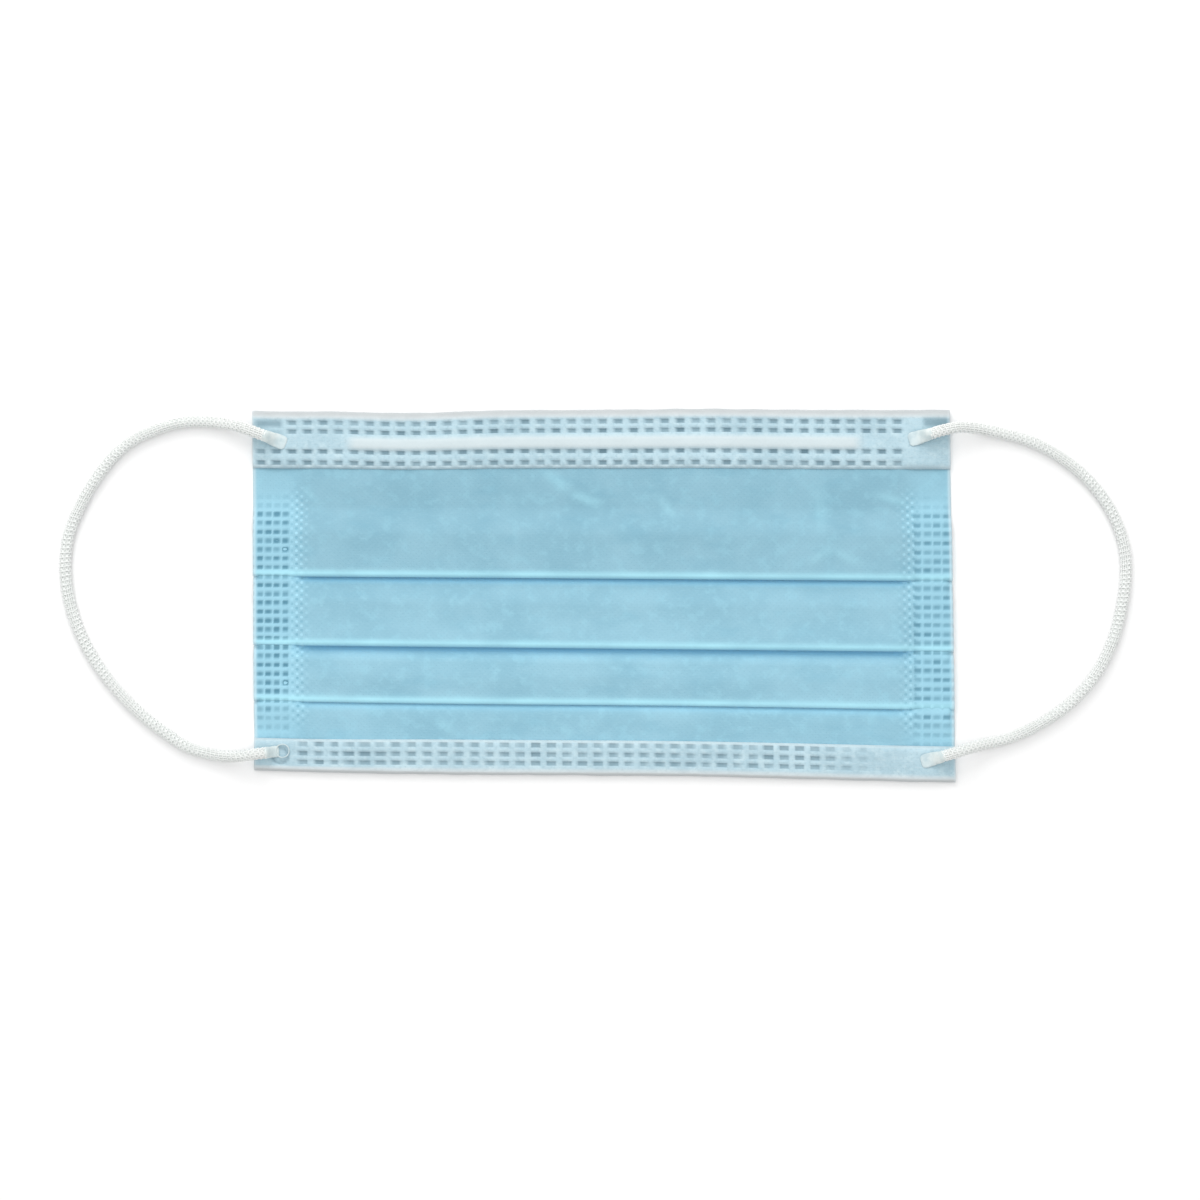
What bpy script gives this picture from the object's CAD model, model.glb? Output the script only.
import bpy
import bmesh
import math
import random
from mathutils import Matrix, Vector, noise


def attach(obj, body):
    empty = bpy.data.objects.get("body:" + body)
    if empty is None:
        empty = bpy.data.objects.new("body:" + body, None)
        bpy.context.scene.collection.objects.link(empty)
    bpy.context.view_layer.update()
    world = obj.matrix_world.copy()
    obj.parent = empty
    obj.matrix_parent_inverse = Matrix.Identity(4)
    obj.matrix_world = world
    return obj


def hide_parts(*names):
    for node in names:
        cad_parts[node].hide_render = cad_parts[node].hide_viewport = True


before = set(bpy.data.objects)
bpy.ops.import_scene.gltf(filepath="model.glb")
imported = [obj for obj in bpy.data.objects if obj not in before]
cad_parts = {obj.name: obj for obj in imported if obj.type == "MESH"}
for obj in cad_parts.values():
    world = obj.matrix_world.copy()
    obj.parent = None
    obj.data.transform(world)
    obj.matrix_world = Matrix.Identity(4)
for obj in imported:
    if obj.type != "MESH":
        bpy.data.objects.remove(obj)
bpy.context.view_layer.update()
print("frame loaded")

mm = 0.001  # sizes in the dictionaries below are in millimetres

# the blank and its levels, as the CAD has them
blank = {
    "halfLength": 87.0,  # half of the nose edge
    "height": 91.7,  # nose edge to chin edge, along the middle
    "lean": 1.0,  # the chin edge sits this far to the right
    "flare": 0.5,  # and is this much longer, each side
    "taper": 0.015,  # the right side is taller, the left side lower
    "low": 0.5,  # middle of the layer on the table
    "middle": 1.8,
    "high": 3.1,
    "wall": 1.0,
    "takeUp": 11.0,  # cloth hidden in one layer of a pleat
    "foldEdges": (42.2, 59.6, 73.8),  # from the nose edge
    "noseHem": 15.4,
    "chinHem": 9.1,
}


def smoothStep(low, high, value):
    t = min(max((value - low) / (high - low), 0.0), 1.0)
    return t * t * (3 - 2 * t)


def bump(value, centre, halfWidth):
    return math.exp(-((value - centre) / halfWidth) ** 2)


def onBlank(across, down):
    """across -1 left to 1 right, down in mm from the nose edge; gives x and y in mm"""
    share = down / blank["height"]
    middle = blank["lean"] * share - (blank["lean"] + blank["flare"]) / 2
    x = middle + across * (blank["halfLength"] + blank["flare"] * share)
    noseEdge = blank["height"] * (1 + blank["taper"]) / 2
    return x, noseEdge - down * (1 + blank["taper"] * across)


# ---- camera and light
studio = {
    "target": (-0.001, -0.0009, 0.002),
    "height": 0.831,
    "lens": 100.0,
    "keySize": 1.6,
    "keyPower": 7.0,
    "overheadPower": 9.2,
    "ambient": 0.60,
    "floor": (0.98, 0.98, 0.98),
}


def makeCamera():
    data = bpy.data.cameras.new("camera")
    data.lens = studio["lens"]
    data.sensor_width = 36.0
    data.clip_start = 0.01
    camera = bpy.data.objects.new("camera", data)
    x, y, z = studio["target"]
    camera.location = (x, y, z + studio["height"])
    bpy.context.scene.collection.objects.link(camera)
    bpy.context.scene.camera = camera


def makeAreaLight(name, location, size, power):
    data = bpy.data.lights.new(name, "AREA")
    data.shape = "SQUARE"
    data.size = size
    data.energy = power
    light = bpy.data.objects.new(name, data)
    light.location = location
    aim = Vector((0, 0, 0)) - Vector(location)
    light.rotation_euler = aim.to_track_quat("-Z", "Y").to_euler()
    bpy.context.scene.collection.objects.link(light)


def makeStudio():
    scene = bpy.context.scene
    scene.view_settings.view_transform = "Standard"
    world = bpy.data.worlds.new("studio")
    world.use_nodes = True
    background = world.node_tree.nodes["Background"]
    background.inputs["Color"].default_value = (1.0, 1.0, 1.0, 1)
    background.inputs["Strength"].default_value = studio["ambient"]
    scene.world = world
    makeAreaLight("overhead", (0.0, 0.1, 1.5), studio["keySize"], studio["overheadPower"])
    makeAreaLight("windowSide", (-0.25, 1.0, 0.75), 0.8, studio["keyPower"])
    floorMesh = bmesh.new()
    bmesh.ops.create_grid(floorMesh, x_segments=1, y_segments=1, size=3.0)
    floor = addObject("floor", floorMesh)
    floor.data.materials.append(plainPaper("floorPaper", studio["floor"]))


# ---- small helpers for meshes and materials
def addObject(name, source):
    """source is a bmesh, which is freed, or a mesh"""
    if isinstance(source, bmesh.types.BMesh):
        mesh = bpy.data.meshes.new(name)
        source.to_mesh(mesh)
        source.free()
    else:
        mesh = source
        mesh.name = name
    piece = bpy.data.objects.new(name, mesh)
    bpy.context.scene.collection.objects.link(piece)
    return piece


def smoothFaces(piece):
    piece.data.polygons.foreach_set("use_smooth", [True] * len(piece.data.polygons))


class Nodes:
    """a short way to write a node tree"""

    def __init__(self, name):
        self.material = bpy.data.materials.new(name)
        self.material.use_nodes = True
        self.tree = self.material.node_tree
        self.shader = self.tree.nodes["Principled BSDF"]

    def add(self, kind, **settings):
        node = self.tree.nodes.new(kind)
        for key, value in settings.items():
            setattr(node, key, value)
        return node

    def plug(self, value, socket):
        if hasattr(value, "is_output"):
            self.tree.links.new(value, socket)
        else:
            socket.default_value = value

    def math(self, operation, a, b=0.0, clamp=False):
        node = self.add("ShaderNodeMath", operation=operation, use_clamp=clamp)
        self.plug(a, node.inputs[0])
        self.plug(b, node.inputs[1])
        return node.outputs[0]

    def mix(self, factor, a, b, blend="MIX"):
        node = self.add("ShaderNodeMix", data_type="RGBA", blend_type=blend)
        self.plug(factor, node.inputs["Factor"])
        self.plug(a, node.inputs[6])
        self.plug(b, node.inputs[7])
        return node.outputs[2]

    def ramp(self, value, low, high):
        node = self.add("ShaderNodeMapRange", interpolation_type="SMOOTHSTEP")
        self.plug(value, node.inputs["Value"])
        self.plug(low, node.inputs["From Min"])
        self.plug(high, node.inputs["From Max"])
        return node.outputs[0]

    def attribute(self, name):
        return self.add("ShaderNodeAttribute", attribute_name=name).outputs["Fac"]

    def noise(self, place, scale, detail=3.0, roughness=0.55, stretch=None):
        if stretch:
            node = self.add("ShaderNodeMapping")
            self.plug(place, node.inputs["Vector"])
            node.inputs["Scale"].default_value = stretch
            place = node.outputs[0]
        node = self.add("ShaderNodeTexNoise")
        self.plug(place, node.inputs["Vector"])
        node.inputs["Scale"].default_value = scale
        node.inputs["Detail"].default_value = detail
        node.inputs["Roughness"].default_value = roughness
        return node.outputs["Fac"]

    def turned(self, place, angle, stretch):
        node = self.add("ShaderNodeMapping")
        self.plug(place, node.inputs["Vector"])
        node.inputs["Rotation"].default_value = (0, 0, angle)
        node.inputs["Scale"].default_value = stretch
        return node.outputs[0]

    def bumpOn(self, height, distance, strength=1.0, under=None):
        node = self.add("ShaderNodeBump")
        self.plug(height, node.inputs["Height"])
        node.inputs["Distance"].default_value = distance
        node.inputs["Strength"].default_value = strength
        if under is not None:
            self.plug(under, node.inputs["Normal"])
        return node.outputs[0]


def plainPaper(name, colour):
    nodes = Nodes(name)
    place = nodes.add("ShaderNodeTexCoord").outputs["Object"]
    grain = nodes.noise(place, 900.0)
    shade = nodes.mix(grain, (*[c * 0.995 for c in colour], 1), (*colour, 1))
    nodes.plug(shade, nodes.shader.inputs["Base Color"])
    nodes.shader.inputs["Roughness"].default_value = 0.9
    nodes.shader.inputs["Specular IOR Level"].default_value = 0.1
    return nodes.material


# ---- ear loops: a knitted elastic cord, welded to the face at both ends
earLoop = {
    "diameter": 3.0,
    "coreRadius": 1.16,
    "yarnRadius": 0.17,
    "loopRadius": 1.30,  # middle of the yarn's path round the core
    "wales": 7,  # stitches round the cord
    "course": 1.15,  # stitch length along the cord
    "stitchHeight": 0.62,
    "stitchWidth": 0.26,
    "samples": 12,  # points on one stitch
    "twist": 27.0,  # the knit's plain side comes round once in this length
    "lengths": {"left": 0.150, "right": 0.1415},
}

loopRoutes = {
    "left": [
        (-84.3, 39.9, 4.1), (-87.8, 41.2, 4.15), (-91.3, 42.4, 3.5), (-95, 43.1, 2.3),
        (-99.5, 43.6, 1.65), (-104.5, 43.5, 1.55), (-110, 42.2, 1.55), (-117, 39.2, 1.55),
        (-122, 35.3, 1.55), (-127, 28.9, 1.55), (-130.8, 22.2, 1.55), (-133.4, 15.8, 1.55),
        (-134.4, 8.3, 1.55), (-133.8, 1, 1.55), (-131.8, -6.5, 1.55), (-128.3, -14, 1.55),
        (-123.2, -21.4, 1.55), (-116, -29, 1.55), (-109.5, -34.1, 1.55), (-104, -37.6, 1.55),
        (-99.3, -39.1, 1.65), (-95, -39.8, 2.3), (-91.2, -39.8, 3.5), (-87.6, -39.3, 4.15),
        (-84, -38.9, 4.1),
    ],
    "right": [
        (81.1, 40.4, 4.1), (84.6, 41.4, 4.15), (88.2, 42.1, 4), (91.7, 42, 3.2),
        (95.3, 41.5, 2.2), (99.5, 40.6, 1.65), (103.5, 39.6, 1.55), (108, 38, 1.55),
        (113.5, 35, 1.55), (119, 30.8, 1.55), (123.8, 25.5, 1.55), (127.5, 19.3, 1.55),
        (129.8, 12.3, 1.55), (130.2, 5, 1.55), (129.2, -2.5, 1.55), (127, -11, 1.55),
        (123, -19, 1.55), (117, -26, 1.55), (110, -31.1, 1.55), (104.5, -34, 1.55),
        (99.8, -35.7, 1.65), (95.5, -36.6, 2.3), (91.8, -37.5, 3.5), (88.2, -38.6, 4.15),
        (84.2, -39.8, 4.1),
    ],
}


def throughPoints(route, perSpan=12):
    """a smooth line through the points, evenly eased (centripetal)"""
    points = [Vector(p) for p in route]
    points = [2 * points[0] - points[1]] + points + [2 * points[-1] - points[-2]]
    line = []
    for i in range(1, len(points) - 2):
        a, b, c, d = points[i - 1:i + 3]
        tb = math.sqrt((b - a).length)
        tc = tb + math.sqrt((c - b).length)
        td = tc + math.sqrt((d - c).length)
        for step in range(perSpan):
            t = tb + (tc - tb) * step / perSpan
            ab = a.lerp(b, t / tb)
            bc = b.lerp(c, (t - tb) / (tc - tb))
            cd = c.lerp(d, (t - tc) / (td - tc))
            abc = ab.lerp(bc, t / tc)
            bcd = bc.lerp(cd, (t - tb) / (td - tb))
            line.append(abc.lerp(bcd, (t - tb) / (tc - tb)))
    line.append(points[-2].copy())
    return line


class Route:
    """a line that gives its place and its own axes at any distance along it"""

    def __init__(self, points):
        self.points = points
        self.reach = [0.0]
        for a, b in zip(points, points[1:]):
            self.reach.append(self.reach[-1] + (b - a).length)
        self.length = self.reach[-1]

    def at(self, distance):
        if distance <= 0 or distance >= self.length:
            end = 0 if distance <= 0 else -2
            heading = (self.points[end + 1] - self.points[end]).normalized()
            start = self.points[0] if distance <= 0 else self.points[-1]
            over = distance if distance <= 0 else distance - self.length
            return start + heading * over, heading
        low, high = 0, len(self.reach) - 1
        while high - low > 1:
            mid = (low + high) // 2
            if self.reach[mid] <= distance:
                low = mid
            else:
                high = mid
        share = (distance - self.reach[low]) / (self.reach[high] - self.reach[low])
        a = max(low - 1, 0)
        b = min(high + 1, len(self.points) - 1)
        before = (self.points[high] - self.points[a]).normalized()
        after = (self.points[b] - self.points[low]).normalized()
        return self.points[low].lerp(self.points[high], share), before.lerp(after, share).normalized()

    def onRing(self, distance, angle, radius):
        """angle 0 is the cord's top"""
        place, heading = self.at(distance)
        side = heading.cross(Vector((0, 0, 1))).normalized()
        up = side.cross(heading)
        return place + (up * math.cos(angle) + side * math.sin(angle)) * radius


def tubeMesh(name, points, radius, resolution, cyclic=False):
    """a round tube along points in mm, made from a curve and turned into a mesh"""
    curve = bpy.data.curves.new(name, "CURVE")
    curve.dimensions = "3D"
    curve.bevel_depth = radius * mm
    curve.bevel_resolution = resolution
    curve.use_fill_caps = True
    spline = curve.splines.new("POLY")
    spline.points.add(len(points) - 1)
    spline.use_cyclic_u = cyclic
    for slot, point in zip(spline.points, points):
        slot.co = (point[0] * mm, point[1] * mm, point[2] * mm, 1)
    holder = bpy.data.objects.new(name, curve)
    mesh = bpy.data.meshes.new_from_object(holder)
    bpy.data.objects.remove(holder)
    bpy.data.curves.remove(curve)
    return mesh


def yarnPath(route, turnOffset):
    """one yarn that knits round the cord in a rising spiral of V stitches"""
    facts = earLoop
    perTurn = facts["wales"]
    stitches = int(route.length / facts["course"] * perTurn)
    path = []
    for stitch in range(stitches):
        for sample in range(facts["samples"]):
            t = 2 * math.pi * sample / facts["samples"]
            turn = (stitch + sample / facts["samples"]) / perTurn
            along = turn * facts["course"]
            plain = 0.5 + 0.5 * math.cos(2 * math.pi * (turn - along / facts["twist"]) + turnOffset)
            open_ = 1.0 - 0.45 * smoothStep(0.55, 0.95, plain)
            around = 2 * math.pi * turn
            around += facts["stitchWidth"] * open_ * math.sin(2 * t)
            lift = facts["stitchHeight"] * (0.75 + 0.25 * open_) * math.cos(t)
            radial = facts["loopRadius"] + 0.11 * open_ * math.cos(2 * t)
            path.append(route.onRing(min(max(along + lift, 0.1), route.length - 0.1), around, radial))
    return path


def makeEarLoop(side, turnOffset):
    points = throughPoints(loopRoutes[side])
    route = Route(points)
    core = tubeMesh("core", [route.at(i * 1.0)[0] for i in range(int(route.length) + 1)],
                    earLoop["coreRadius"], 3)
    knit = bmesh.new()
    knit.from_mesh(core)
    layer = knit.verts.layers.float.new("yarn")
    coreCount = len(knit.verts)
    knit.from_mesh(tubeMesh("yarn", yarnPath(route, turnOffset), earLoop["yarnRadius"], 0))
    knit.verts.ensure_lookup_table()
    for vertex in knit.verts[coreCount:]:
        vertex[layer] = 1.0
    piece = addObject("earLoop" + side.capitalize(), knit)
    smoothFaces(piece)
    piece.data.materials.append(elasticFinish())
    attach(piece, "root")
    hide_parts("ear_loop_" + side)
    print("ear loop", side, round(route.length, 1), "mm,", len(piece.data.polygons), "faces")
    return route


elasticMaterial = {}


def elasticFinish():
    if "made" in elasticMaterial:
        return elasticMaterial["made"]
    nodes = Nodes("knittedElastic")
    place = nodes.add("ShaderNodeTexCoord").outputs["Object"]
    yarn = nodes.attribute("yarn")
    cloud = nodes.noise(place, 95.0, 2.0)
    fibre = nodes.noise(place, 5200.0, 2.0)
    thread = nodes.mix(cloud, (0.91, 0.94, 0.92, 1), (0.96, 0.97, 0.96, 1))
    thread = nodes.mix(nodes.ramp(fibre, 0.35, 0.7), nodes.mix(1.0, thread, (0.95, 0.95, 0.95, 1), "MULTIPLY"),
                       thread)
    colour = nodes.mix(yarn, (0.77, 0.80, 0.78, 1), thread)
    nodes.plug(colour, nodes.shader.inputs["Base Color"])
    nodes.plug(nodes.bumpOn(fibre, 0.00006, 0.6), nodes.shader.inputs["Normal"])
    rough = nodes.math("MULTIPLY_ADD", fibre, 0.2)
    rough.node.inputs[2].default_value = 0.68
    nodes.plug(rough, nodes.shader.inputs["Roughness"])
    nodes.shader.inputs["Sheen Weight"].default_value = 0.25
    nodes.shader.inputs["Sheen Roughness"].default_value = 0.5
    nodes.shader.inputs["Subsurface Weight"].default_value = 0.0
    nodes.shader.inputs["Specular IOR Level"].default_value = 0.3
    elasticMaterial["made"] = nodes.material
    return nodes.material


# ---- the cloth in section, from the nose edge to the chin edge
pleatLook = {
    "climb": (7.0, 4.6, 2.6),  # how soon a panel rises over the pleat under it
    "rise": (0.0, 0.4, -1.15),  # how far each fold edge stands up
    "puff": (1.35, 1.0, 0.95),  # how far the panel under a fold edge stands up to meet it
    "bendSteps": 8,
    "plyOffset": 0.25,  # each ply from the middle of the cloth
    "plyThickness": 0.4,
}


def halfTurn(reach, fromHeight, toHeight, bulge):
    radius = abs(toHeight - fromHeight) / 2
    centre = reach - bulge * (radius + blank["wall"] / 2)
    middle = (fromHeight + toHeight) / 2
    sign = 1 if fromHeight > toHeight else -1
    points = []
    steps = pleatLook["bendSteps"]
    for i in range(steps + 1):
        angle = math.pi * i / steps
        points.append((centre + bulge * radius * math.sin(angle), middle + radius * sign * math.cos(angle)))
    return points


def downTo(start, end, step):
    count = max(1, round(abs(end - start) / step))
    return [start + (end - start) * i / count for i in range(count + 1)]


def clothSection(fine, coarse):
    """the middle line of the bonded cloth, with close rows where it shows"""
    low, middle, high = blank["low"], blank["middle"], blank["high"]
    line = []
    start = 1.3
    puff = 0.0
    for foldEdge, climb, nextPuff in zip(blank["foldEdges"], pleatLook["climb"], pleatLook["puff"]):
        foldTop = foldEdge - blank["takeUp"]
        front = halfTurn(foldEdge, high, middle, 1)
        back = halfTurn(foldTop, middle, low, -1)
        for down in downTo(start, front[0][0], fine)[:-1]:
            climbed = smoothStep(foldTop - climb, foldTop + 0.4, down)
            puffed = puff * smoothStep(start - 0.9, start + 1.5, down)
            line.append((down, low + (high - low) * climbed + puffed * (1 - climbed)))
        line += front
        line += [(down, middle) for down in downTo(front[-1][0], back[0][0], coarse)[1:-1]]
        line += back
        line += [(down, low) for down in downTo(back[-1][0], foldEdge + 0.1, coarse)[1:-1]]
        start = foldEdge + 0.1
        puff = nextPuff
    for down in downTo(start, blank["height"] - 1.3, fine):
        puffed = smoothStep(start - 0.9, start + 1.5, down) * (1 - smoothStep(start + 1.5, start + 8.5, down))
        line.append((down, low + puff * puffed))
    return line


def offsetLine(line, offset):
    """moves a section line to its upper side; gives points and distances along the cloth"""
    moved, reach, total = [], [], 0.0
    for i, point in enumerate(line):
        before = Vector(line[max(i - 1, 0)])
        after = Vector(line[min(i + 1, len(line) - 1)])
        heading = (after - before).normalized()
        moved.append((point[0] - heading.y * offset, point[1] + heading.x * offset))
        if i:
            total += (Vector(point) - Vector(line[i - 1])).length
        reach.append(total)
    return moved, reach


# ---- welds, dashes and the soft unevenness of the cloth
sideWeld = {
    "left": {"columns": (-88.1, -85.8, -83.7, -81.6, -79.4), "firstRow": 20.5, "pitch": 2.21, "rows": 22,
             "strength": 0.97, "dotWidth": 1.5},
    "right": {"columns": (78.1, 80.6, 83.0, 85.4, 87.6), "firstRow": 20.0, "pitch": 2.27, "rows": 23,
              "strength": 0.72, "dotWidth": 1.85},
    "dotHeight": 1.1,
    "depth": 0.17,
    "inner": 73.0,  # the cloth starts to flatten here
    "outer": 79.5,
    "press": 0.38,  # share of its height that the stack loses
    "level": 1.92,  # the welded face is level from the first pleat to the last
}

dashes = {
    "pitch": 3.87,
    "length": 2.35,
    "height": 1.2,
    "depth": 0.42,
    "noseStart": -85.5,
    "chinStart": -82.8,
    "count": 45,
    "edge": 0.22,  # width of a dash's sloping side
    "noseRows": (
        {"down": 2.95, "from": -79.5, "to": 75.0, "strength": 0.85},
        {"down": 5.2, "from": -79.5, "to": 75.0, "strength": 1.0},
        {"down": 10.3, "from": -87.0, "to": 75.0, "strength": 1.0},
        {"down": 13.15, "from": -87.0, "to": 75.0, "strength": 1.0},
    ),
    "chinRows": (
        {"down": 83.9, "from": -77.0, "to": 74.0, "strength": 0.8},
        {"down": 86.2, "from": -77.0, "to": 74.0, "strength": 0.85},
        {"down": 88.4, "from": -77.0, "to": 74.0, "strength": 0.8},
    ),
}

wireRidge = {"from": -62.5, "to": 62.5, "centre": 8.1, "halfWidth": 1.5, "rise": 0.6}


def inWindow(value, centre, half, edge):
    return 1 - smoothStep(half - edge / 2, half + edge / 2, abs(value - centre))


def dotPress(x, y):
    """how far the side welds press the cloth at a place, 0 to 1"""
    weld = sideWeld["left"] if x < 0 else sideWeld["right"]
    column = min(weld["columns"], key=lambda c: abs(c - x))
    if abs(column - x) > 1.2:
        return 0.0
    row = round((weld["firstRow"] - y) / weld["pitch"])
    rowCentre = weld["firstRow"] - row * weld["pitch"]
    fade = 1.0
    if row < 0:
        fade = max(0.0, 0.45 + 0.15 * row)
    if row >= weld["rows"]:
        fade = max(0.0, 0.6 - 0.15 * (row - weld["rows"]))
    wobble = noise.noise(Vector((column * 3.1, rowCentre * 2.3, 0.5)))
    strength = fade * weld["strength"] * (1 + 0.55 * wobble)
    dot = inWindow(x, column, weld["dotWidth"] / 2, 0.5)
    return max(0.0, dot * inWindow(y, rowCentre, sideWeld["dotHeight"] / 2, 0.45) * strength)


def sideFlattening(x):
    return smoothStep(sideWeld["inner"], sideWeld["outer"], abs(x))


def dashPress(x, down, rows, start):
    """how far the hem's dashes press the flap at a place, 0 to 1"""
    for row in rows:
        if abs(down - row["down"]) > dashes["height"]:
            continue
        count = round((x - start) / dashes["pitch"])
        centre = start + count * dashes["pitch"]
        wobble = noise.noise(Vector((centre * 1.7, row["down"] * 3.1, 2.5)))
        here = smoothStep(row["from"] - 1, row["from"] + 1, centre)
        here *= 1 - smoothStep(row["to"] - 26 * (rows is dashes["chinRows"]), row["to"] + 1, centre)
        length = dashes["length"] / 2 * (1 + 0.12 * wobble)
        dash = inWindow(x, centre, length, dashes["edge"] * 1.5)
        dash *= inWindow(down, row["down"], dashes["height"] / 2, dashes["edge"])
        return max(0.0, dash * here * row["strength"] * (0.86 + 0.35 * wobble))
    return 0.0


# soft creases: two ends in mm, height, half width
creases = (
    ((-17, 33), (-8, 26), 0.16, 1.7),
    ((-8, 26), (-1, 22.5), 0.18, 1.5),
    ((13.6, 25), (18, 19), 0.14, 1.3),
    ((53.6, 28), (54.2, 15), 0.10, 2.2),
    ((56.3, 12), (51.3, 8.4), 0.12, 1.3),
    ((56.3, 12), (64, 7.6), 0.12, 1.3),
    ((67.5, 25.6), (76.5, 22.6), 0.14, 1.3),
    ((-41, -30.5), (-37, -34.8), 0.13, 1.1),
    ((-11, -31.8), (-7, -35.9), 0.13, 1.1),
    ((-70.5, 22.5), (-75.5, 27.5), 0.10, 1.1),
)

hollows = (
    (-6.0, 20.5, 5.0, 0.34),
    (56.5, 9.2, 3.2, 0.22),
    (23.0, 12.0, 9.0, 0.15),
    (-45.0, 18.0, 12.0, 0.16),
)


def toSegment(x, y, a, b):
    """distance to a crease and how near its ends are, 0 beyond them"""
    ax, ay = a
    bx, by = b
    lengthSquared = (bx - ax) ** 2 + (by - ay) ** 2
    t = ((x - ax) * (bx - ax) + (y - ay) * (by - ay)) / lengthSquared
    clamped = min(max(t, 0.0), 1.0)
    gap = math.hypot(x - ax - clamped * (bx - ax), y - ay - clamped * (by - ay))
    return gap, 0.25 + 0.75 * math.sin(math.pi * clamped)


def creaseAt(x, y):
    """height and whitening of the creases at a place"""
    height, white = 0.0, 0.0
    for a, b, rise, half in creases:
        gap, share = toSegment(x, y, a, b)
        if gap < 3 * half:
            height += rise * share * math.exp(-(gap / half) ** 2)
            white = max(white, share * math.exp(-(gap / (half * 0.75)) ** 2) * rise / 0.3)
    for cx, cy, radius, depth in hollows:
        gap = math.hypot(x - cx, y - cy)
        if gap < 2.5 * radius:
            height -= depth * math.exp(-(gap / radius) ** 2)
    return height, min(white, 1.0)


def softness(x, y):
    """slow unevenness of cloth that is not held, in mm"""
    slow = noise.noise(Vector((x * 0.035, y * 0.06, 3.7)))
    middle = noise.noise(Vector((x * 0.10 + 7, y * 0.16, 9.1)))
    quick = noise.noise(Vector((x * 0.33, y * 0.42, 5.5)))
    return 0.30 * slow + 0.16 * middle + 0.05 * quick


def edgeWave(x):
    """the nose edge is cut and turned a little unevenly"""
    return -0.75 * bump(x, -50, 18) + 0.3 * bump(x, 25, 18) - 0.3 * bump(x, -80, 10)


def placeOnMask(across, down, height):
    """from the cloth's own places to metres, with the uneven edges"""
    x, y = onBlank(across, down)
    y += edgeWave(x) * (1 - smoothStep(0, 30, down))
    y += 0.25 * math.sin(x * 0.045 + 0.6) * smoothStep(60, 91, down)
    y += 0.3 * smoothStep(88.9, 91.5, down)
    y -= 0.5 * (1 - smoothStep(-80, -35, x)) * smoothStep(80, 82.5, down) * (1 - smoothStep(88.9, 90.5, down))
    return Vector((x * mm, y * mm, height * mm))


def pressPleats(x, down, height, onTop, across):
    """the side welds pull the stack down, and the fold edges stand up between them"""
    share = height / blank["high"]
    for foldEdge, rise in zip(blank["foldEdges"], pleatLook["rise"]):
        near = smoothStep(foldEdge - 8, foldEdge - 1, down) * (1 - smoothStep(foldEdge, foldEdge + 0.6, down))
        height += rise * near * share * share * (1 - 0.8 * sideFlattening(x))
    pressed = height * (1 - sideWeld["press"] * sideFlattening(x))
    if onTop and pressed > 0:
        level = sideWeld["level"] * smoothStep(20, 31, down) * (1 - 0.8 * smoothStep(74.5, 83, down))
        level *= 1 - smoothStep(85.3, 86.8, abs(across) * blank["halfLength"])
        pressed += max(level - pressed, 0.0) * 0.85 * sideFlattening(x)
    return pressed


def makeSheet(columns, line, reach, place, valueNames):
    """a grid in the cloth's own places, moved line by line to where the cloth lies"""
    mesh = bmesh.new()
    across, downs = len(columns) - 1, len(line) - 1
    bmesh.ops.create_grid(mesh, x_segments=across, y_segments=downs, size=0.5)
    uvLayer = mesh.loops.layers.uv.new("cloth")
    layers = [mesh.verts.layers.float.new(name) for name in valueNames]
    thin = mesh.verts.layers.deform.verify()
    for vertex in mesh.verts:
        i = round((vertex.co.x + 0.5) * across)
        j = downs - round((vertex.co.y + 0.5) * downs)
        for loop in vertex.link_loops:
            loop[uvLayer].uv = (columns[i] * blank["halfLength"] * mm, -reach[j] * mm)
        point, values, thickness = place(columns[i], j)
        vertex.co = point
        vertex[thin][0] = thickness
        for layer, value in zip(layers, values):
            vertex[layer] = value
    return mesh


def finishSheet(name, mesh, material, thickness):
    bmesh.ops.recalc_face_normals(mesh, faces=mesh.faces)
    piece = addObject(name, mesh)
    piece.vertex_groups.new(name="thickness")
    smoothFaces(piece)
    wall = piece.modifiers.new("wall", "SOLIDIFY")
    wall.thickness = thickness * mm
    wall.offset = 0.0
    wall.vertex_group = "thickness"
    wall.thickness_vertex_group = 0.0
    piece.data.materials.append(material)
    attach(piece, "root")
    print(name, len(piece.data.polygons), "faces before its thickness")
    return piece


def clothLift(x, y, down):
    """how far the whole stack stands off the table at a place"""
    free = (1 - sideFlattening(x)) * smoothStep(12, 19, down) * (1 - smoothStep(80, 84, down))
    crease, white = creaseAt(x, y)
    return max(0.0, (0.42 + softness(x, y)) * free + crease * free), white * free


# ---- outer ply: one blue sheet, folded into three pleats
outerLook = {
    "rowStep": 0.47,
    "hiddenStep": 2.2,
    "weldStep": 0.44,
    "middleStep": 1.25,
    "underShade": (0.85, 1.0, 0.35),  # deeper blue in the crook under each fold edge
    "foldGlow": 1.0,  # whitening of the fibres along a fold edge
}


def outerColumns():
    half = blank["halfLength"]
    inner = sideWeld["inner"] + 2
    steps = downTo(-inner, inner, outerLook["middleStep"])
    weld = downTo(inner, half - 0.9, outerLook["weldStep"])[1:] + [half - 0.5, half]
    full = [-x for x in reversed(weld)] + steps + weld
    return [x / half for x in full]


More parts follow.
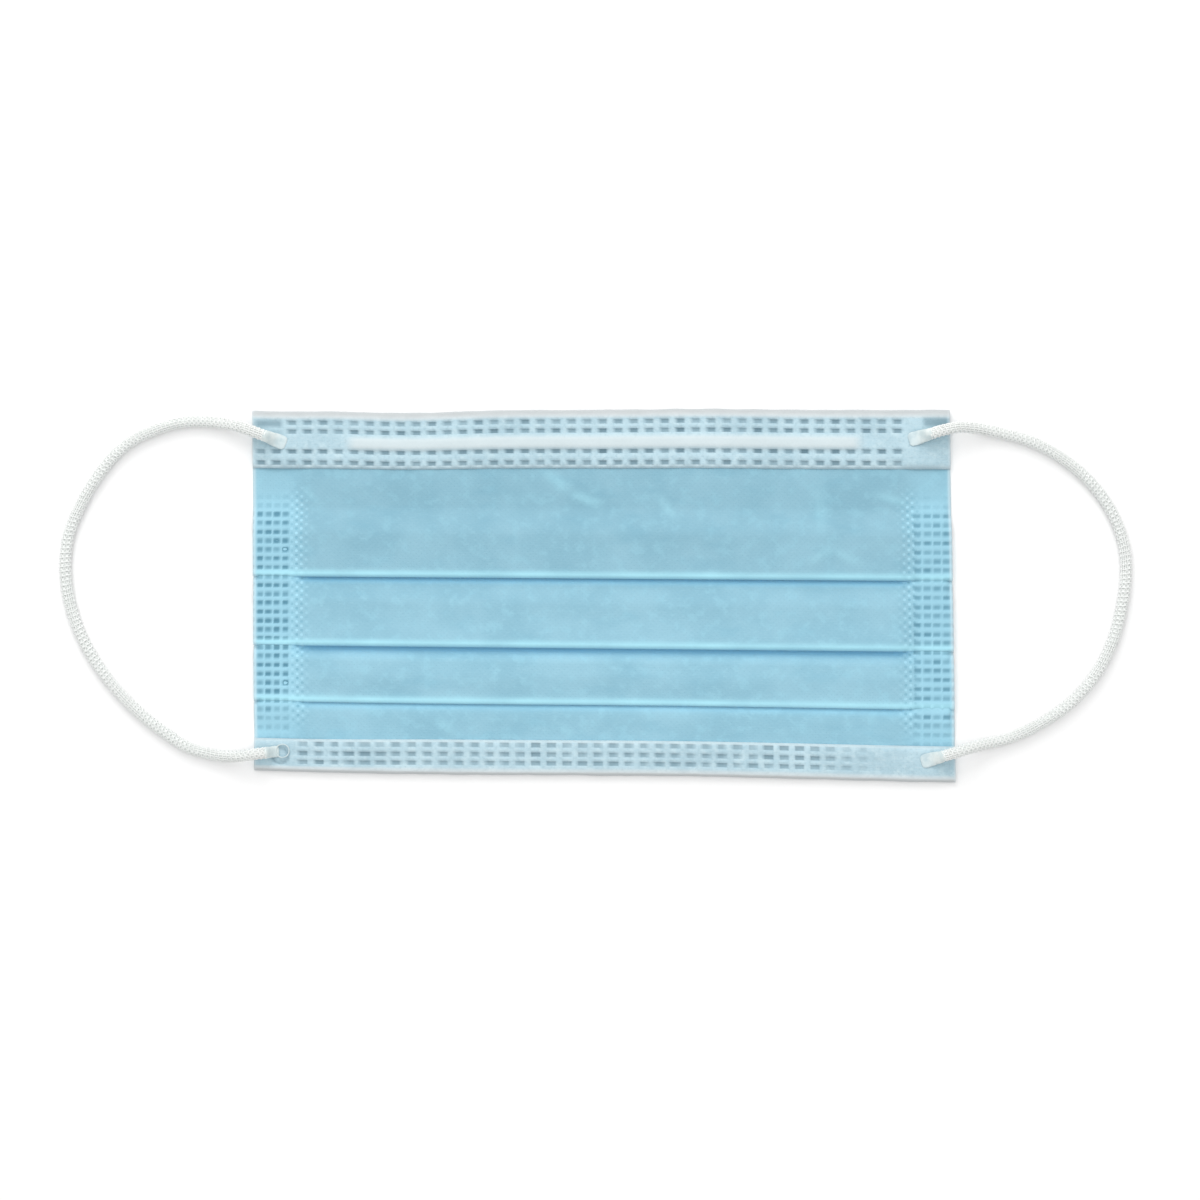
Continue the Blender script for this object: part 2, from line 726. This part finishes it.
def makeOuterPly():
    middleLine = clothSection(outerLook["rowStep"], outerLook["hiddenStep"])
    line, reach = offsetLine(middleLine, pleatLook["plyOffset"])
    onTop = []
    start = 0.0
    for (down, height), (_, upper) in zip(middleLine, line):
        onTop.append(upper > height + 0.02)

    def place(across, j):
        down, height = line[j]
        x, y = onBlank(across, down)
        lift, white = clothLift(x, y, down)
        middleHeight = middleLine[j][1]
        pressed = pressPleats(x, down, middleHeight, onTop[j], across)
        height = pressed + (height - middleHeight) * (1 - sideWeld["press"] * sideFlattening(x))
        dot = dotPress(x, y) if onTop[j] and 16 < down < 83 else 0.0
        height -= sideWeld["depth"] * dot * min(1.0, height / 1.8)
        fold = 0.0
        if onTop[j]:
            for foldEdge in blank["foldEdges"]:
                fold = max(fold, bump(down, foldEdge - 0.95, 0.8))
            fold *= 0.75 + 0.25 * noise.noise(Vector((x * 0.12, foldEdge, 1.5)))
        edge = smoothStep(85.9, 86.9, abs(across) * blank["halfLength"])
        band = bump(abs(x), 76.2, 2.1) * smoothStep(18, 24, down) * (1 - smoothStep(76, 82, down))
        thickness = (1 - 0.42 * sideFlattening(x)) * (1 - 0.35 * dot)
        welded = sideFlattening(x)
        tone = 0.5 - 0.5 * math.cos(math.pi * min(max((down - 20) / 60, 0.0), 1.0))
        under = 0.0
        for foldEdge, weight in zip(blank["foldEdges"], outerLook["underShade"]):
            under = max(under, weight * bump(down, foldEdge + 0.4, 1.0) * (1 - welded))
        welded *= 0.5 + 0.5 * smoothStep(18, 25, down)
        values = (dot, max(white * 0.6, fold * outerLook["foldGlow"]), edge, band, welded, tone, under)
        return placeOnMask(across, down, height + lift), values, thickness

    mesh = makeSheet(outerColumns(), line, reach, place, ("fused", "white", "edge", "stipple", "welded", "tone", "under"))
    piece = finishSheet("outerPly", mesh, outerPlyFinish(), pleatLook["plyThickness"])
    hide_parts("pleated_body")
    print("outer ply flat length", round(reach[-1], 1), "mm")
    return piece


# ---- inner ply: one white sheet, turned over both long edges on to the face
innerLook = {
    "flapLevel": 1.75,  # middle of the turned-over ply
    "flapEnd": 1.06,  # its cut edge lies on the blue ply
    "noseFlap": 14.6,
    "edgeInset": 0.2,
    "topStep": 1.25,
    "backStep": 2.6,
}

pressMarks = (  # where the loops' ends are welded: x, down, half width, half height, strength
    (-83.8, 3.3, 3.4, 0.9, 0.75),
    (-81.4, 7.2, 1.7, 2.5, 0.22),
    (82.8, 3.2, 3.1, 1.1, 0.75),
    (77.9, 7.0, 1.8, 2.0, 0.20),
    (-80.8, 87.0, 2.3, 2.2, 0.18),
    (80.6, 86.3, 1.5, 1.2, 0.12),
)


ringMark = {"x": -80.8, "down": 86.9, "radius": 1.9, "width": 0.45}
spotMark = {"x": 80.9, "down": 86.3, "radius": 1.3}


def dashLevels(rows, start, end):
    """rows of the grid for a flap, with a row at each slope of each dash"""
    marks = {start, end}
    for row in rows:
        for side in (-1, 1):
            for slope in (-0.5, 0.5):
                marks.add(row["down"] + side * dashes["height"] / 2 + slope * dashes["edge"])
        marks.add(row["down"])
    ordered = sorted(marks)
    filled = []
    for a, b in zip(ordered, ordered[1:]):
        filled += downTo(a, b, 0.62)[:-1]
    filled.append(ordered[-1])
    return filled


def innerSection():
    """rows of the inner ply: place in section, what part it is, and the flap's own share"""
    level, inset = innerLook["flapLevel"], innerLook["edgeInset"]
    backLevel = blank["low"] - pleatLook["plyOffset"]
    radius = (level - backLevel) / 2
    rows = []
    noseEnd = innerLook["noseFlap"]
    for down in reversed(dashLevels(dashes["noseRows"], inset + radius, noseEnd)):
        droop = smoothStep(noseEnd - 1.2, noseEnd, down)
        rows.append((down, level + (innerLook["flapEnd"] - level) * droop, "nose"))
    for i in range(1, 7):
        angle = math.pi * i / 7
        rows.append((inset + radius - radius * math.sin(angle),
                     (level + backLevel) / 2 + radius * math.cos(angle), "edge"))
    middleLine = clothSection(innerLook["topStep"], innerLook["backStep"])
    back, _ = offsetLine(middleLine, -pleatLook["plyOffset"])
    for (down, height), (_, middleHeight) in zip(back, middleLine):
        onTop = height < middleHeight - 0.02
        rows.append((down, height, "backTop" if onTop else "back"))
    chin = blank["height"] - inset - radius
    for i in range(1, 7):
        angle = math.pi * i / 7
        rows.append((chin + radius * math.sin(angle),
                     (level + backLevel) / 2 - radius * math.cos(angle), "edge"))
    flapStart = blank["height"] - blank["chinHem"]
    for down in reversed(dashLevels(dashes["chinRows"], flapStart, chin)):
        droop = 1 - smoothStep(flapStart, flapStart + 1.4, down)
        rows.append((down, level + (innerLook["flapEnd"] - level) * droop, "chin"))
    return rows


def innerColumns():
    """grid columns with one at each slope of each dash, in mm from the middle"""
    half = blank["halfLength"]
    marks = [-half, -half + 0.35, half - 0.35, half]
    slope = dashes["edge"] * 0.75
    for count in range(dashes["count"]):
        centre = dashes["noseStart"] + count * dashes["pitch"]
        for side in (-1, 1):
            for shift in (-slope, slope):
                marks.append(centre + side * dashes["length"] / 2 + shift)
        marks.append(centre)
        marks.append(centre + dashes["pitch"] / 2)
    marks = sorted(x for x in marks if -half <= x <= half)
    kept = [marks[0]]
    for x in marks[1:]:
        if x - kept[-1] > 0.12:
            kept.append(x)
    kept[-1] = half
    return [x / half for x in kept]


def makeInnerPly():
    rows = innerSection()
    line = [(down, height) for down, height, part in rows]
    reach = [0.0]
    for a, b in zip(line, line[1:]):
        reach.append(reach[-1] + math.hypot(b[0] - a[0], b[1] - a[1]))
    slant = dashes["chinStart"] - dashes["noseStart"]

    def place(across, j):
        down, height, part = rows[j]
        shift = slant * reach[j] / reach[-1] / blank["halfLength"]
        across += shift * (1 - across * across) ** 0.5 if abs(across) < 1 else 0.0
        x, y = onBlank(across, down)
        fused = over = wire = 0.0
        if part == "nose":
            fused = dashPress(x, down, dashes["noseRows"], dashes["noseStart"])
            over = smoothStep(1.2, 2.3, down)
            along = smoothStep(wireRidge["from"] - 3, wireRidge["from"] + 1, x)
            along *= 1 - smoothStep(wireRidge["to"] - 1, wireRidge["to"] + 3, x)
            wire = along * inWindow(down, wireRidge["centre"], wireRidge["halfWidth"], 1.1)
            puff = 0.16 * noise.noise(Vector((x * 0.25, down * 0.35, 4.4)))
            height += wireRidge["rise"] * wire + puff * (1 - fused)
        if part == "chin":
            fused = dashPress(x, down, dashes["chinRows"], dashes["chinStart"])
            over = 1 - 0.75 * smoothStep(89.3, 90.7, down)
            height += 0.16 * noise.noise(Vector((x * 0.25, down * 0.35, 8.4))) * (1 - fused)
        if part in ("nose", "chin"):
            for markX, markDown, halfWide, halfHigh, strength in pressMarks:
                press = inWindow(x, markX, halfWide, 1.6) * inWindow(down, markDown, halfHigh, 1.3)
                fused = max(fused, press * strength)
            ringGap = math.hypot(x - ringMark["x"], (down - ringMark["down"]) * 0.95) - ringMark["radius"]
            fused = max(fused, 0.75 * bump(ringGap, 0, ringMark["width"])) if part == "chin" else fused
            spotGap = math.hypot(x - spotMark["x"], down - spotMark["down"])
            wire = max(wire, 1 - smoothStep(0.6, spotMark["radius"], spotGap))
            edgeDown = innerLook["noseFlap"] - 0.35 if part == "nose" else blank["height"] - blank["chinHem"] + 0.3
            wire = max(wire, 0.75 * bump(down, edgeDown, 0.42))
            height -= dashes["depth"] * fused
        lift, _ = clothLift(x, y, down)
        if part in ("back", "backTop"):
            offset = pleatLook["plyOffset"] * (1 if part == "back" else -1)
            middleHeight = height - offset
            height = pressPleats(x, down, middleHeight, part == "backTop", across)
            height += offset * (1 - sideWeld["press"] * sideFlattening(x))
            height -= 0.15 * sideFlattening(x) * smoothStep(0.2, 1.0, height)
        else:
            height *= 1 - 0.22 * smoothStep(82, 87.2, abs(x))
        edge = smoothStep(86.3, 87.1, abs(across) * blank["halfLength"])
        onBack = part in ("back", "backTop")
        thickness = (1 - 0.6 * sideFlattening(x) * onBack) * (1 - 0.4 * fused)
        if part == "nose":
            thickness *= 1 - 0.6 * smoothStep(13.4, 14.4, down)
        if part == "chin":
            thickness *= 0.4 + 0.6 * smoothStep(82.8, 83.8, down)
        tuck = 0.12 * noise.noise(Vector((x * 0.2, down, 6.0))) * (part == "edge")
        rim = 1.0 if part == "edge" else 0.0
        if part == "nose":
            rim = 1 - smoothStep(0.5, 1.6, down)
        if part == "chin":
            rim = 0.5 * smoothStep(90.4, 91.3, down)
        return placeOnMask(across, down + tuck, height + lift), (fused, over, wire, edge, rim), thickness

    mesh = makeSheet(innerColumns(), line, reach, place, ("fused", "overBlue", "wire", "edge", "rim"))
    piece = finishSheet("innerPly", mesh, innerPlyFinish(), pleatLook["plyThickness"])
    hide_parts("nose_hem", "chin_hem")
    print("inner ply flat length", round(reach[-1], 1), "mm")
    return piece


def nonwoven(nodes, place):
    """fibres, cloudiness and bond points of a spun cloth, in the cloth's own places in metres"""
    cloud = nodes.noise(place, 55.0, 3.0)
    mottle = nodes.noise(place, 310.0, 3.0, 0.6)
    fibres = None
    for angle in (0.35, 1.25, 2.3):
        strands = nodes.noise(nodes.turned(place, angle, (0.16, 1.0, 1.0)), 3600.0, 2.0)
        fibres = strands if fibres is None else nodes.math("MAXIMUM", fibres, strands)
    parts = nodes.add("ShaderNodeSeparateXYZ")
    nodes.plug(place, parts.inputs[0])
    waves = []
    for axis in (0, 1):
        turn = nodes.math("MULTIPLY", parts.outputs[axis], 2 * math.pi / 0.00135)
        waves.append(nodes.math("SINE", turn))
    points = nodes.ramp(nodes.math("MULTIPLY", waves[0], waves[1]), 0.55, 0.95)
    return cloud, mottle, fibres, points


def outerPlyFinish():
    nodes = Nodes("blueNonwoven")
    place = nodes.add("ShaderNodeUVMap", uv_map="cloth").outputs[0]
    cloud, mottle, fibres, points = nonwoven(nodes, place)
    colour = nodes.mix(nodes.ramp(cloud, 0.33, 0.68), (0.243, 0.468, 0.580, 1), (0.290, 0.526, 0.640, 1))
    colour = nodes.mix(nodes.math("MULTIPLY", nodes.ramp(mottle, 0.48, 0.68), 0.42), colour,
                       (0.31, 0.59, 0.71, 1))
    blotch = nodes.noise(nodes.turned(place, 0.7, (0.45, 1.0, 1.0)), 170.0, 2.0)
    colour = nodes.mix(nodes.math("MULTIPLY", nodes.ramp(blotch, 0.52, 0.74), 0.4), colour,
                       (0.21, 0.44, 0.56, 1))
    colour = nodes.mix(nodes.math("MULTIPLY", nodes.ramp(fibres, 0.52, 0.8), 0.22), colour,
                       (0.40, 0.66, 0.76, 1))
    colour = nodes.mix(nodes.math("MULTIPLY", points, 0.16), colour, (0.20, 0.44, 0.56, 1))
    colour = nodes.mix(nodes.attribute("tone"), nodes.mix(1.0, colour, (0.93, 0.93, 0.93, 1), "MULTIPLY"),
                       nodes.mix(1.0, colour, (1.12, 1.12, 1.12, 1), "MULTIPLY"))
    colour = nodes.mix(nodes.math("MULTIPLY", nodes.attribute("under"), 0.75), colour,
                       (0.25, 0.62, 0.86, 1))
    welded = nodes.attribute("welded")
    colour = nodes.mix(nodes.math("MULTIPLY", welded, 0.55), colour, (0.385, 0.71, 0.86, 1))
    parts = nodes.add("ShaderNodeSeparateXYZ")
    nodes.plug(place, parts.inputs[0])
    small = nodes.math("MULTIPLY", nodes.math("SINE", nodes.math("MULTIPLY", parts.outputs[0], 2500.0)),
                       nodes.math("SINE", nodes.math("MULTIPLY", parts.outputs[1], 2840.0)))
    stipple = nodes.math("MULTIPLY", nodes.ramp(small, 0.35, 0.8), nodes.attribute("stipple"))
    colour = nodes.mix(nodes.math("MULTIPLY", stipple, 0.6), colour, (0.17, 0.40, 0.52, 1))
    between = nodes.ramp(nodes.math("MULTIPLY", small, -1.0), 0.35, 0.8)
    between = nodes.math("MULTIPLY", between, nodes.attribute("stipple"))
    colour = nodes.mix(nodes.math("MULTIPLY", between, 0.6), colour, (0.46, 0.80, 0.95, 1))
    fused = nodes.attribute("fused")
    colour = nodes.mix(nodes.math("MULTIPLY", fused, 1.0, clamp=True), colour, (0.10, 0.27, 0.37, 1))
    colour = nodes.mix(nodes.math("MULTIPLY", nodes.attribute("white"), 0.85), colour,
                       (0.47, 0.88, 1.0, 1))
    colour = nodes.mix(nodes.math("MULTIPLY", nodes.attribute("edge"), 0.7), colour,
                       (0.66, 0.80, 0.85, 1))
    nodes.plug(colour, nodes.shader.inputs["Base Color"])
    coarse = nodes.bumpOn(mottle, 0.00012, 0.5)
    bonded = nodes.math("SUBTRACT", fibres, nodes.math("MULTIPLY", nodes.math("ADD", points, stipple), 0.7))
    nodes.plug(nodes.bumpOn(bonded, 0.00007, 0.55, coarse), nodes.shader.inputs["Normal"])
    rough = nodes.math("MULTIPLY_ADD", fused, -0.28)
    rough.node.inputs[2].default_value = 0.84
    nodes.plug(rough, nodes.shader.inputs["Roughness"])
    nodes.shader.inputs["Sheen Weight"].default_value = 0.18
    nodes.shader.inputs["Sheen Roughness"].default_value = 0.55
    nodes.shader.inputs["Specular IOR Level"].default_value = 0.25
    return nodes.material


def innerPlyFinish():
    nodes = Nodes("whiteNonwoven")
    place = nodes.add("ShaderNodeUVMap", uv_map="cloth").outputs[0]
    cloud, mottle, fibres, points = nonwoven(nodes, place)
    white = nodes.mix(nodes.ramp(cloud, 0.3, 0.7), (0.65, 0.69, 0.70, 1), (0.70, 0.74, 0.75, 1))
    through = nodes.mix(nodes.ramp(cloud, 0.35, 0.65), (0.415, 0.590, 0.670, 1), (0.485, 0.665, 0.745, 1))
    over = nodes.attribute("overBlue")
    colour = nodes.mix(over, white, through)
    colour = nodes.mix(nodes.math("MULTIPLY", nodes.ramp(mottle, 0.48, 0.66), 0.5), colour,
                       nodes.mix(over, (0.74, 0.78, 0.79, 1), (0.56, 0.73, 0.79, 1)))
    speckle = nodes.noise(place, 900.0, 2.0)
    colour = nodes.mix(nodes.math("MULTIPLY", nodes.ramp(speckle, 0.48, 0.7), 0.4), colour,
                       nodes.mix(over, (0.60, 0.65, 0.66, 1), (0.33, 0.49, 0.56, 1)))
    colour = nodes.mix(nodes.math("MULTIPLY", nodes.ramp(fibres, 0.52, 0.8), 0.3), colour,
                       (0.72, 0.82, 0.85, 1))
    colour = nodes.mix(nodes.math("MULTIPLY", points, 0.18), colour,
                       nodes.mix(over, (0.60, 0.65, 0.67, 1), (0.36, 0.52, 0.59, 1)))
    colour = nodes.mix(nodes.math("MULTIPLY", nodes.attribute("wire"), 0.85), colour,
                       (0.655, 0.735, 0.755, 1))
    colour = nodes.mix(nodes.math("MULTIPLY", nodes.attribute("rim"), 0.9), colour, (0.50, 0.53, 0.54, 1))
    fused = nodes.attribute("fused")
    colour = nodes.mix(nodes.math("MULTIPLY", fused, 0.9, clamp=True), colour, (0.175, 0.285, 0.345, 1))
    colour = nodes.mix(nodes.math("MULTIPLY", nodes.attribute("edge"), 0.6), colour,
                       (0.68, 0.74, 0.77, 1))
    nodes.plug(colour, nodes.shader.inputs["Base Color"])
    coarse = nodes.bumpOn(mottle, 0.00012, 0.5)
    bonded = nodes.math("SUBTRACT", fibres, nodes.math("MULTIPLY", points, 0.6))
    nodes.plug(nodes.bumpOn(bonded, 0.00007, 0.55, coarse), nodes.shader.inputs["Normal"])
    rough = nodes.math("MULTIPLY_ADD", fused, -0.3)
    rough.node.inputs[2].default_value = 0.85
    nodes.plug(rough, nodes.shader.inputs["Roughness"])
    nodes.shader.inputs["Sheen Weight"].default_value = 0.18
    nodes.shader.inputs["Sheen Roughness"].default_value = 0.55
    nodes.shader.inputs["Specular IOR Level"].default_value = 0.25
    return nodes.material


# ---- nose wire: a coated strip with two wires in it, in the pocket under the nose hem
noseWire = {
    "length": 124.0,
    "width": 3.0,
    "thickness": 0.45,
    "bottom": 1.02,
    "centre": 8.1,
    "wireRadius": 0.24,
    "wireGap": 1.5,
    "steps": 62,
    "rounding": 0.12,
}


def makeNoseWire():
    facts = noseWire
    strip = bmesh.new()
    bmesh.ops.create_cube(strip, size=1.0)
    bmesh.ops.scale(strip, vec=(facts["length"], facts["width"], facts["thickness"]), verts=strip.verts)
    longEdges = [e for e in strip.edges if abs(e.verts[0].co.x - e.verts[1].co.x) > 1]
    bmesh.ops.bevel(strip, geom=longEdges, offset=facts["rounding"], segments=3, profile=0.5,
                    affect="EDGES", material=-1)
    longEdges = [e for e in strip.edges if abs(e.verts[0].co.x - e.verts[1].co.x) > 1]
    bmesh.ops.subdivide_edges(strip, edges=longEdges, cuts=facts["steps"])
    half = facts["wireGap"] / 2
    for vertex in strip.verts:
        core = max(bump(vertex.co.y, -half, 0.32), bump(vertex.co.y, half, 0.32))
        vertex.co.z += core * 0.08 * (1 if vertex.co.z > 0 else -1)
    for vertex in strip.verts:
        across = vertex.co.x / blank["halfLength"]
        down = facts["centre"] - vertex.co.y
        height = facts["bottom"] + facts["thickness"] / 2 + vertex.co.z
        vertex.co = placeOnMask(across, down, height)
    bmesh.ops.recalc_face_normals(strip, faces=strip.faces)
    piece = addObject("noseWire", strip)
    nodes = Nodes("wireCoating")
    place = nodes.add("ShaderNodeTexCoord").outputs["Object"]
    drawn = nodes.noise(nodes.turned(place, 0.0, (0.04, 1.0, 1.0)), 2200.0, 2.0)
    cloud = nodes.noise(place, 140.0)
    shade = nodes.mix(cloud, (0.76, 0.80, 0.81, 1), (0.84, 0.86, 0.86, 1))
    nodes.plug(nodes.mix(nodes.math("MULTIPLY", drawn, 0.2), shade, (0.66, 0.70, 0.71, 1)),
               nodes.shader.inputs["Base Color"])
    nodes.plug(nodes.bumpOn(drawn, 0.00003, 0.5), nodes.shader.inputs["Normal"])
    rough = nodes.math("MULTIPLY_ADD", drawn, 0.2)
    rough.node.inputs[2].default_value = 0.35
    nodes.plug(rough, nodes.shader.inputs["Roughness"])
    piece.data.materials.append(nodes.material)
    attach(piece, "root")
    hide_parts("nose_wire")
    print("nose wire", len(piece.data.polygons), "faces")


# ---- loop ends: the cord pressed flat and fused to the hem
loopEnd = {
    "length": 5.4,
    "sides": 28,
    # share of the length, half width, half height, drop of the underside
    "sections": (
        (-0.14, 1.22, 1.22, -0.28), (0.0, 1.42, 1.4, -0.1), (0.10, 1.5, 1.28, 0.08), (0.2, 1.55, 1.05, 0.24),
        (0.32, 1.62, 0.74, 0.38), (0.45, 1.7, 0.44, 0.48), (0.6, 1.76, 0.26, 0.53), (0.75, 1.78, 0.19, 0.56),
        (0.88, 1.66, 0.14, 0.58), (0.96, 1.36, 0.1, 0.6), (1.0, 1.0, 0.05, 0.62),
    ),
    "ribs": 7,
    "ringRadius": 1.65,
    "ringThickness": 0.17,
    "ringPlace": (3.9, 0.0, -1.7),
    "ringedShare": (0.56, 0.82),  # how much of the length and width the end by the ring keeps
}


def addRing(tip):
    ring = bmesh.new()
    bmesh.ops.create_circle(ring, cap_ends=False, radius=loopEnd["ringThickness"], segments=8)
    bmesh.ops.rotate(ring, verts=ring.verts, cent=(0, 0, 0), matrix=Matrix.Rotation(math.pi / 2, 3, "X"))
    bmesh.ops.translate(ring, verts=ring.verts, vec=(loopEnd["ringRadius"], 0, 0))
    bmesh.ops.spin(ring, geom=ring.verts[:] + ring.edges[:], cent=(0, 0, 0), axis=(0, 0, 1), dvec=(0, 0, 0),
                   angle=2 * math.pi, steps=32, use_merge=True, use_duplicate=False)
    bmesh.ops.remove_doubles(ring, verts=ring.verts, dist=0.001)
    bmesh.ops.recalc_face_normals(ring, faces=ring.faces)
    bmesh.ops.translate(ring, verts=ring.verts, vec=loopEnd["ringPlace"])
    mesh = bpy.data.meshes.new("ring")
    ring.to_mesh(mesh)
    ring.free()
    tip.from_mesh(mesh)
    bpy.data.meshes.remove(mesh)


def makeLoopEnd(name, node, route, atStart, ringed=False):
    facts = loopEnd
    radius = earLoop["diameter"] / 2
    longer, wider = facts["ringedShare"] if ringed else (1, 1)
    start = Vector(route.points[0] if atStart else route.points[-1])
    inside = Vector(route.points[1] if atStart else route.points[-2])
    inward = start - inside
    angle = math.atan2(inward.y, inward.x)
    tip = bmesh.new()
    ring = bmesh.ops.create_circle(tip, cap_ends=False, radius=1.0, segments=facts["sides"])["verts"]
    edges = list({edge for vertex in ring for edge in vertex.link_edges})
    for index, (share, halfWidth, halfHeight, drop) in enumerate(facts["sections"]):
        if index:
            grown = bmesh.ops.extrude_edge_only(tip, edges=edges)["geom"]
            ring = [item for item in grown if isinstance(item, bmesh.types.BMVert)]
            edges = [item for item in grown if isinstance(item, bmesh.types.BMEdge)]
        centre = sum((vertex.co for vertex in ring), Vector()) / len(ring)
        if index:
            ring.sort(key=lambda v: math.atan2(v.co.z - centre.z, v.co.y - centre.y))
        else:
            ring.sort(key=lambda v: math.atan2(v.co.y, v.co.x))
        for order, vertex in enumerate(ring):
            turn = -math.pi + 2 * math.pi * (order + 0.5) / facts["sides"]
            wavy = 1 + 0.035 * math.sin(facts["ribs"] * turn + share * 14)
            across = math.cos(turn) * halfWidth * wavy * (1 - (1 - wider) * smoothStep(0, 0.4, share))
            up = (math.sin(turn) + 1) * halfHeight - radius - drop
            vertex.co = Vector((share * facts["length"] * longer, across, up))
    bmesh.ops.holes_fill(tip, edges=[e for e in tip.edges if e.is_boundary], sides=0)
    spread = tip.verts.layers.float.new("spread")
    for vertex in tip.verts:
        vertex[spread] = smoothStep(0.25, 0.75, vertex.co.x / facts["length"] / longer) * (0.3 if ringed else 1)
    if ringed:
        addRing(tip)
        for vertex in tip.verts:
            if vertex.co.z < loopEnd["ringPlace"][2] + 0.21 and vertex.co.x > facts["length"] * longer:
                vertex[spread] = 1.0
    bmesh.ops.rotate(tip, verts=tip.verts, cent=(0, 0, 0), matrix=Matrix.Rotation(angle, 3, "Z"))
    for vertex in tip.verts:
        vertex.co = (vertex.co + start) * mm
    bmesh.ops.recalc_face_normals(tip, faces=tip.faces)
    piece = addObject(name, tip)
    smoothFaces(piece)
    piece.data.materials.append(fusedElasticFinish())
    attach(piece, "root")
    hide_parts(node)
    return piece


fusedMaterial = {}


def fusedElasticFinish():
    if "made" in fusedMaterial:
        return fusedMaterial["made"]
    nodes = Nodes("fusedElastic")
    place = nodes.add("ShaderNodeTexCoord").outputs["Object"]
    cloud = nodes.noise(place, 420.0, 3.0)
    fibre = nodes.noise(place, 4200.0, 2.0)
    colour = nodes.mix(nodes.ramp(cloud, 0.3, 0.7), (0.56, 0.66, 0.67, 1), (0.78, 0.84, 0.82, 1))
    colour = nodes.mix(nodes.math("MULTIPLY", fibre, 0.3), colour, (0.86, 0.89, 0.87, 1))
    spread = nodes.mix(nodes.ramp(cloud, 0.35, 0.65), (0.52, 0.65, 0.69, 1), (0.66, 0.77, 0.79, 1))
    colour = nodes.mix(nodes.attribute("spread"), colour, spread)
    nodes.plug(colour, nodes.shader.inputs["Base Color"])
    nodes.plug(nodes.bumpOn(fibre, 0.00006, 0.5, nodes.bumpOn(cloud, 0.0003, 0.6)),
               nodes.shader.inputs["Normal"])
    rough = nodes.math("MULTIPLY_ADD", fibre, 0.3)
    rough.node.inputs[2].default_value = 0.5
    nodes.plug(rough, nodes.shader.inputs["Roughness"])
    nodes.shader.inputs["Sheen Weight"].default_value = 0.15
    fusedMaterial["made"] = nodes.material
    return nodes.material


# ---- put it together
random.seed(11)
makeCamera()
makeStudio()
print("camera and studio set")
routes = {"left": makeEarLoop("left", 0.4), "right": makeEarLoop("right", 2.1)}
makeOuterPly()
makeInnerPly()
makeNoseWire()
makeLoopEnd("loopEndNoseLeft", "loop_end_nose_left", routes["left"], True)
makeLoopEnd("loopEndChinLeft", "loop_end_chin_left", routes["left"], False, True)
makeLoopEnd("loopEndNoseRight", "loop_end_nose_right", routes["right"], True)
makeLoopEnd("loopEndChinRight", "loop_end_chin_right", routes["right"], False)
print("loop ends made")

bpy.context.view_layer.update()
print("sizes written")
